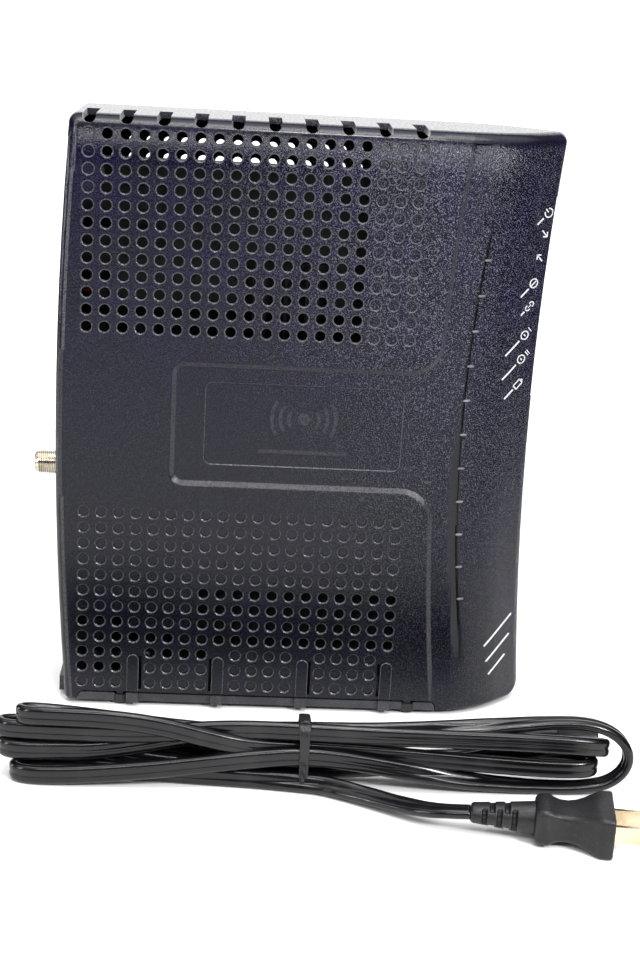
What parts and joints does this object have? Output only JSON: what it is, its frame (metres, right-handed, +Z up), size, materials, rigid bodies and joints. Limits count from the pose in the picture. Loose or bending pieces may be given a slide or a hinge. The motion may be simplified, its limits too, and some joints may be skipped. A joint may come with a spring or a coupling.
{
  "type": "cable modem",
  "caption": "Upright cable modem with a back-up battery: a slim dark vented case, slotted on top, with a line of indicator lights, and its folded power cord lying in front.",
  "frame": {"origin": "middle of the modem's footprint, on the surface that it stands on", "axes": "+Z up, +X from the connector panel to the narrow nose with the indicator lights, -Y out of the side with the top slots"},
  "size_m": [0.2451, 0.1688, 0.2412],
  "materials": {
    "case_plastic": "fine spark grain",
    "panel_plastic": "fine spark grain",
    "cover_plastic": "fine spark grain",
    "smoked_window": "polished",
    "clear_guide": "clear",
    "foot_rubber": "matt",
    "board_laminate": "dark solder mask",
    "lamp_resin": "clear",
    "ribbon_film": "satin",
    "bay_plastic": "smooth",
    "battery_wrap": "shrink film",
    "spring_contacts": "plated",
    "jack_plastic": "smooth",
    "nickel_plate": "satin nickel",
    "white_insulator": "smooth",
    "button_plastic": "smooth",
    "chip_resin": "moulded",
    "shield_steel": "tinned",
    "fin_aluminium": "black anodised",
    "fuse_glass": "clear",
    "cord_jacket": "satin",
    "tie_plastic": "satin",
    "plug_plastic": "fine grain",
    "blade_brass": "plated"
  },
  "bodies": {
    "case": {"appliance_connector": "plug_plastic", "appliance_relief": "plug_plastic", "battery_bay": "bay_plastic", "battery_contacts": "spring_contacts", "board_screws": "shield_steel", "bulk_capacitor": "fin_aluminium", "coax_connector": "nickel_plate", "coax_insulator": "white_insulator", "coax_nut": "nickel_plate", "cord_tie": "tie_plastic", "crystal_can": "shield_steel", "ethernet_jack": "jack_plastic", "ethernet_transformer": "chip_resin", "foot_front_left": "foot_rubber", "foot_front_right": "foot_rubber", "foot_rear_left": "foot_rubber", "foot_rear_right": "foot_rubber", "heat_sink": "fin_aluminium", "housing_screws": "shield_steel", "indicator_board": "board_laminate", "indicator_lamps": "lamp_resin", "indicator_ribbon": "ribbon_film", "indicator_window": "smoked_window", "light_guide": "clear_guide", "line_filter": "chip_resin", "line_relay_1": "chip_resin", "line_relay_2": "chip_resin", "main_board": "board_laminate", "mains_fuse": "fuse_glass", "memory_chip_1": "chip_resin", "memory_chip_2": "chip_resin", "modem_chip": "chip_resin", "output_capacitors": "fin_aluminium", "power_cord_hank": "cord_jacket", "power_cord_lead_in": "cord_jacket", "power_cord_tail": "cord_jacket", "power_inlet": "jack_plastic", "power_inlet_pins": "spring_contacts", "power_supply_board": "board_laminate", "power_transformer": "chip_resin", "rear_panel": "panel_plastic", "reset_switch": "chip_resin", "side_shell_left": "case_plastic", "side_shell_right": "case_plastic", "telephone_jack_1": "jack_plastic", "telephone_jack_2": "jack_plastic", "tuner_shield": "shield_steel", "usb_port": "jack_plastic", "voice_chip": "chip_resin", "wall_plug_blades": "blade_brass", "wall_plug_body": "plug_plastic", "wall_plug_relief": "plug_plastic"},
    "lift_off_cover": {"bottom_cover": "cover_plastic"},
    "battery": {"battery_pack": "battery_wrap"},
    "reset_key": {"reset_button": "button_plastic"}
  },
  "joints": [
    {"name": "cover_slide", "type": "slide", "parent": "case", "child": "lift_off_cover", "axis": [0, 0, -1], "range_m": [0, 0.1]},
    {"name": "battery_slide", "type": "slide", "parent": "case", "child": "battery", "axis": [0, 0, -1], "range_m": [0, 0.066]},
    {"name": "reset_press", "type": "slide", "parent": "case", "child": "reset_key", "axis": [1, 0, 0], "range_m": [0, 0.0008], "stiffness_N_per_m": 500}
  ],
  "couplings": [
    {"joint": "battery_slide", "follows": "cover_slide", "ratio": 0.65}
  ]
}
